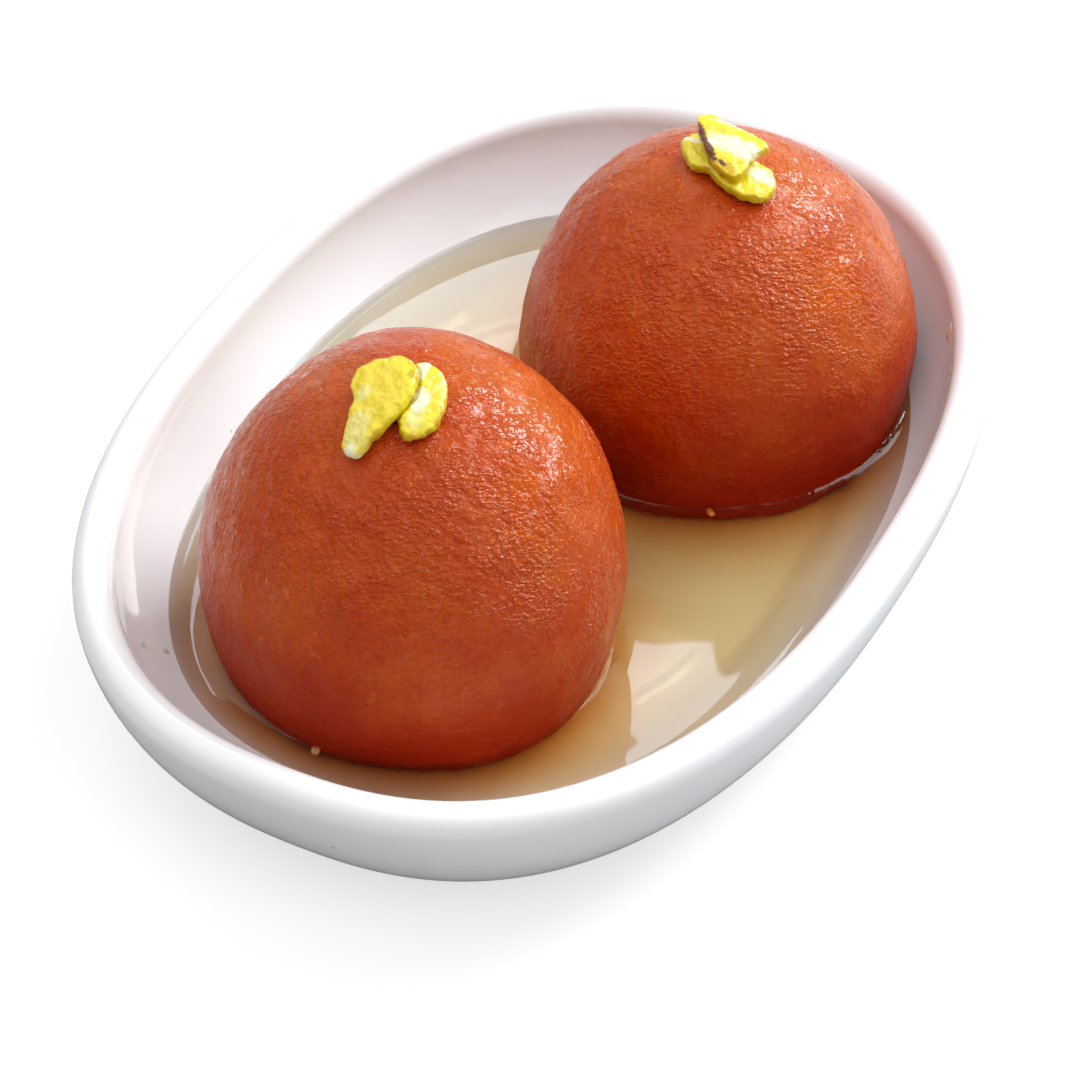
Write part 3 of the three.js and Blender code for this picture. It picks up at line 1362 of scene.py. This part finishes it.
@dataclass
class Scatter:
    """A few small lumpy drops or crumbs that lie on another piece.

    Attributes:
        name: The name of the piece.
        slot: The name of the finish that it takes.
        finish: That finish.
        spots: Where the things lie.
        lumps: How high their lumps are, as a share of half a thing's length.
        rounds: How often a thing's faces are split.
    """

    name: str
    slot: Slot
    finish: Material
    spots: tuple[Spot, ...]
    lumps: float = 0.25
    rounds: int = 4

    def drop(self, spot: Spot, host: BVHTree) -> Piece:
        """Makes one thing and lays it on the host's nearest place.

        Args:
            spot: Its place and size.
            host: The surface that it lies on.

        Returns:
            The thing, in its place.
        """
        place, normal, _, _ = host.find_nearest(Vector(spot.place) * MM)
        piece = start(self.name, bpy.ops.mesh.primitive_ico_sphere_add, subdivisions=self.rounds,
                      radius=spot.size * MM)
        Lumps(spot.size, self.lumps * spot.size).press(piece)
        piece.scale = (1.0, spot.width, spot.height)
        turned = Quaternion((0.0, 0.0, 1.0), math.radians(spot.turn))
        piece.rotation_euler = (normal.to_track_quat("Z", "X") @ turned).to_euler()
        piece.location = place
        settle(piece)
        return piece

    def build(self, host: Piece) -> Piece:
        """Lays every thing on the host and joins them.

        Args:
            host: The piece that they lie on.

        Returns:
            The one piece that they make.
        """
        tree = BVHTree.FromObject(host, bpy.context.evaluated_depsgraph_get())
        pick(*[self.drop(spot, tree) for spot in self.spots])
        bpy.ops.object.join()
        piece = bpy.context.object
        piece.name = self.name
        piece.data.name = self.name
        hand_over(piece, self.slot, self.finish)
        return piece


# ---------------------------------------------------------------- studio


def direction(bearing: float, slope: float) -> Vector:
    """Gives the way to a place.

    Args:
        bearing: The place's bearing, round from +X.
        slope: Its slope above the table.

    Returns:
        The way, with a length of 1.
    """
    turn, rise = math.radians(bearing), math.radians(slope)
    flat = math.cos(rise)
    return Vector((flat * math.cos(turn), flat * math.sin(turn), math.sin(rise)))


@dataclass(frozen=True)
class Softbox:
    """A rectangular light that faces the dish.

    Attributes:
        name: The light's name.
        bearing: Where it stands, round from +X.
        slope: How high it stands, above the table.
        distance: How far it is from its target.
        width: Its width.
        height: Its height.
        radiance: How bright its face is.
        colour: Its colour.
    """

    name: str
    bearing: float
    slope: float
    distance: float
    width: float
    height: float
    radiance: float
    colour: Colour

    def build(self, target: Triple) -> None:
        """Hangs the light and aims it.

        Args:
            target: The place that it faces.
        """
        way = direction(self.bearing, self.slope)
        spot = Vector(target) * MM + way * self.distance * MM
        lamp = start(self.name, bpy.ops.object.light_add, type="AREA", location=spot)
        lamp.rotation_euler = (-way).to_track_quat("-Z", "Y").to_euler()
        lamp.data.shape = "RECTANGLE"
        lamp.data.size = self.width * MM
        lamp.data.size_y = self.height * MM
        lamp.data.energy = self.radiance * math.pi * self.width * self.height * MM * MM
        lamp.data.color = self.colour
        lamp.visible_camera = False
        log.info("%s is lit", self.name)


@dataclass(frozen=True)
class Screen:
    """A dark place in the surround.

    Attributes:
        bearing: Where its middle is, round from +X.
        slope: How high its middle is, above the table.
        inside: The angle from its middle within which it is darkest.
        outside: The angle at which it ends.
        left: The share of the light that is left in it.
    """

    bearing: float
    slope: float
    inside: float
    outside: float
    left: float


@dataclass(frozen=True)
class Sky:
    """The surround: a soft tent, dim near the floor, with dark screens.

    Attributes:
        colour: Its colour.
        rise: Between which heights it brightens, as sines of the slope.
        levels: Its brightness below and above those heights.
        bearing: The bearing of its brighter side.
        lean: How much brighter that side is, as a share.
        screens: Its dark places, round the softbox and behind the camera.
    """

    colour: Colour = (1.0, 0.99, 1.0)
    rise: Span = (0.2, 0.72)
    levels: Span = (0.4, 1.6)
    bearing: float = -40.0
    lean: float = 0.45
    screens: tuple[Screen, ...] = (
        Screen(bearing=-22.0, slope=30.0, inside=38.0, outside=60.0, left=0.05),
        Screen(bearing=210.0, slope=37.0, inside=12.0, outside=34.0, left=0.5),
    )

    def build(self) -> None:
        """Hangs the surround round the scene."""
        world = bpy.data.worlds.new("surround")
        world.use_nodes = True
        bpy.context.scene.world = world
        sky = Wiring(world.node_tree)
        view = sky.add("ShaderNodeTexCoord").outputs["Generated"]

        def facing(way: Vector) -> Socket:
            """Tells how far the view points a given way, from -1 to 1."""
            return sky.add("ShaderNodeVectorMath", {0: view, 1: way},
                           operation="DOT_PRODUCT").outputs["Value"]

        lean = sky.sums("MULTIPLY_ADD", facing(direction(self.bearing, 0.0)), self.lean, 1.0)
        height = sky.spread(facing(Vector((0.0, 0.0, 1.0))), *self.rise, *self.levels)
        strength = sky.sums("MULTIPLY", height, lean)
        for screen in self.screens:
            edges = (math.cos(math.radians(screen.outside)), math.cos(math.radians(screen.inside)))
            middle = facing(direction(screen.bearing, screen.slope))
            strength = sky.sums("MULTIPLY", strength, sky.spread(middle, *edges, 1.0, screen.left))
        shader = sky.nodes["Background"]
        sky.feed(shader.inputs["Strength"], strength)
        sky.feed(shader.inputs["Color"], self.colour)


@dataclass
class Studio:
    """A pale floor, soft lights, a bright surround and the camera.

    Attributes:
        floor_radius: The floor's radius.
        floor_sides: How many sides the floor has.
        floor_border: The width of its border, as a share of its radius.
        target: The place that the camera and the softboxes face.
        view_bearing: The bearing of the camera's view, round from +X.
        view_slope: How far the camera looks down.
        view_distance: How far the camera is from its target.
        view_roll: How far it is rolled.
        lens: Its focal length.
        sensor: The width of its sensor.
        nearest: How close a thing may be to it.
        toe: How the darkest tones are deepened: tones before and after.
        tone_curve: The number of the curve that changes all three colours.
        sky: The surround.
        softboxes: The main lights.
        pane_target: The place that the window's panes face.
        panes: The window's panes, which the syrup mirrors.
    """

    floor_radius: float = 1500.0
    floor_sides: int = 96
    floor_border: float = 0.1
    target: Triple = (1.4, 2.0, 0.0)
    view_bearing: float = 30.27
    view_slope: float = 44.78
    view_distance: float = 475.7
    view_roll: float = -3.05
    lens: float = 139.065
    sensor: float = 36.0
    nearest: float = 10.0
    toe: tuple[Span, ...] = (
        (0.02, 0.010), (0.05, 0.032), (0.10, 0.080), (0.20, 0.190), (0.35, 0.35),
    )
    tone_curve: int = 3
    sky: Sky = Sky()
    softboxes: tuple[Softbox, ...] = (
        Softbox("softbox_right", bearing=-22.0, slope=28.0, distance=900.0,
                width=560.0, height=460.0, radiance=10.9, colour=DAYLIGHT),
        Softbox("softbox_upper", bearing=-28.0, slope=58.0, distance=900.0,
                width=700.0, height=300.0, radiance=4.0, colour=DAYLIGHT),
    )
    pane_target: Triple = (-22.8, -25.3, 9.5)
    panes: tuple[Softbox, ...] = (
        Softbox("pane_near_right", bearing=27.6, slope=47.0, distance=1200.0,
                width=33.0, height=44.0, radiance=6.0, colour=WINDOW),
        Softbox("pane_near_left", bearing=30.1, slope=46.8, distance=1200.0,
                width=38.0, height=36.0, radiance=6.0, colour=WINDOW),
        Softbox("pane_far", bearing=33.7, slope=39.2, distance=1200.0,
                width=150.0, height=80.0, radiance=6.0, colour=WINDOW),
        Softbox("pane_left", bearing=40.5, slope=44.9, distance=1200.0,
                width=60.0, height=140.0, radiance=5.0, colour=WINDOW),
    )

    def build(self) -> None:
        """Builds the whole studio."""
        self.lay_floor()
        self.sky.build()
        for softbox in self.softboxes:
            softbox.build(self.target)
        for pane in self.panes:
            pane.build(self.pane_target)
        self.set_camera()
        self.set_tone()

    def lay_floor(self) -> None:
        """Lays the floor, a wide disc with a border."""
        floor = start("floor", bpy.ops.mesh.primitive_circle_add, vertices=self.floor_sides,
                      radius=self.floor_radius * MM, fill_type="NGON")
        with editing(floor):
            bpy.ops.mesh.inset(thickness=self.floor_radius * MM * self.floor_border)
        floor.data.materials.append(Paper().material())

    def set_camera(self) -> None:
        """Stands the camera where the dish is seen from above one end."""
        way = direction(self.view_bearing, -self.view_slope)
        place = (Vector(self.target) - way * self.view_distance) * MM
        camera = start("Camera", bpy.ops.object.camera_add, location=place)
        roll = Quaternion((0.0, 0.0, 1.0), math.radians(self.view_roll))
        camera.rotation_euler = (way.to_track_quat("-Z", "Y") @ roll).to_euler()
        camera.data.lens = self.lens
        camera.data.sensor_width = self.sensor
        camera.data.clip_start = self.nearest * MM
        bpy.context.scene.camera = camera

    def set_tone(self) -> None:
        """Deepens only the darkest tones."""
        view = bpy.context.scene.view_settings
        view.view_transform = "Standard"
        view.use_curve_mapping = True
        for before, after in self.toe:
            view.curve_mapping.curves[self.tone_curve].points.new(before, after)
        view.curve_mapping.update()


# ---------------------------------------------------------------- the whole


def cut_slivers() -> None:
    """Cuts the four pistachio slivers and lays them on the balls."""
    Sliver("pistachio_front_long", -2.8, rim_width=0.9, rim_from=2.8, patches=(
        Patch(Tone.PALE, 0.1, 1.4, 1.1, 0.8),
        Patch(Tone.PALE, -4.2, 0.0, 2.6, 1.3, 4.0),
        Patch(Tone.WHITE, -6.4, 0.0, 0.7, 0.8),
        Patch(Tone.GOLD_AND_SHADE, -3.9, -2.3, 2.8, 0.3, -24.7),
        Patch(Tone.RIM, 3.6, -2.9, 0.9, 0.5, 50.0))).build()
    Sliver("pistachio_front_round", 10.4, rim_width=0.45, patches=(
        Patch(Tone.WHITE, 3.2, 1.0, 1.5, 0.6),
        Patch(Tone.WHITE, -0.2, 0.1, 1.6, 1.0),
        Patch(Tone.PALE, -2.5, -0.2, 1.4, 0.8),
        Patch(Tone.PALE, 1.9, -1.3, 1.3, 0.35, -20.0),
        Patch(Tone.GOLD_AND_SHADE, -0.5, -2.6, 3.0, 0.35),
        Patch(Tone.GOLD_AND_SHADE, -4.5, -1.0, 0.5, 1.2))).build()
    Sliver("pistachio_rear_under", -99.0, rim_width=0.35, patches=(
        Patch(Tone.WHITE, 4.2, 0.6, 1.6, 1.0),
        Patch(Tone.WHITE, -5.5, 1.1, 0.9, 0.5),
        Patch(Tone.RIM, 5.7, 1.1, 0.3, 0.8),
        # Painted shadow: the gold patch in the middle darkens this sliver where the top sliver
        # shades it.
        Patch(Tone.GOLD_AND_SHADE, 0.2, -0.9, 1.9, 1.2))).build()
    Sliver("pistachio_rear_top", -122.8, rim_width=0.25, patches=(
        Patch(Tone.WHITE, 1.1, 0.3, 4.0, 1.2, 34.7),
        Patch(Tone.WHITE, -1.6, 2.1, 3.2, 0.3, 34.7),
        Patch(Tone.GOLD_AND_SHADE, 0.6, -2.95, 4.6, 0.35),
        Patch(Tone.GOLD_AND_SHADE, 3.5, -1.9, 0.9, 0.5),
        Patch(Tone.SKIN, -2.7, -1.7, 1.9, 0.4, -17.5),
        Patch(Tone.SKIN, 0.1, -2.4, 1.6, 0.45, -7.0),
        Patch(Tone.SKIN, 2.3, -2.2, 0.6, 0.22, 6.0))).build()


def scatter_traces(porcelain: Piece, pool: Piece) -> None:
    """Lays the small traces of the serving: drops, bubbles, smears and a crumb.

    Args:
        porcelain: The finished dish.
        pool: The finished syrup.
    """
    froth = Crumb("syrup froth", light=(0.46, 0.21, 0.10), dark=(0.36, 0.13, 0.05)).material()
    smear = Crumb("dried syrup", light=(0.95, 0.92, 0.80), dark=(0.82, 0.72, 0.46)).material()
    crumb = Crumb("soaked crumb", light=(0.72, 0.26, 0.06), dark=(0.50, 0.12, 0.02)).material()
    Scatter("syrup_drops", Slot.SYRUP, pool.data.materials[0], (
        Spot((-42.5, 25.4, 14.0), 0.5, 0.7, 0.4, 30.0),
        Spot((-39.7, 24.1, 12.0), 0.4),
        Spot((-47.0, 17.5, 15.5), 0.3),
        Spot((-44.2, 22.0, 17.0), 0.25))).build(porcelain)
    Scatter("syrup_bubbles", Slot.SYRUP, froth, (
        Spot((-45.2, 3.5, 9.5), 0.6, 0.9, 0.6),
        Spot((-44.0, 2.5, 9.5), 0.3, 1.0, 0.6)), lumps=0.08).build(pool)
    Scatter("dried_smears", Slot.SYRUP, smear, (
        Spot((36.6, -32.1, 17.0), 1.3, 0.8, 0.14, 20.0),
        Spot((30.9, -35.8, 17.0), 1.0, 0.8, 0.14, -35.0)), lumps=0.6).build(porcelain)
    Scatter("skin_crumbs", Slot.FRIED_SKIN, crumb, (
        Spot((5.0, -18.0, 9.9), 0.6, 0.7, 0.6, 40.0),), lumps=0.5).build(pool)


def main() -> None:
    """Builds every piece in order, then the studio round them."""
    logging.basicConfig(level=logging.INFO, format="%(name)s: %(message)s")
    dish = Dish()
    porcelain = dish.build()
    skin = FriedSkin().material()
    balls = [Jamun("jamun_front").build(skin),
             Jamun("jamun_rear", dent=(24.5, 2.5, 37.0)).build(skin)]
    pool = SyrupPool(dish).build(balls)
    cut_slivers()
    scatter_traces(porcelain, pool)
    Studio().build()


if __name__ == "__main__":
    main()
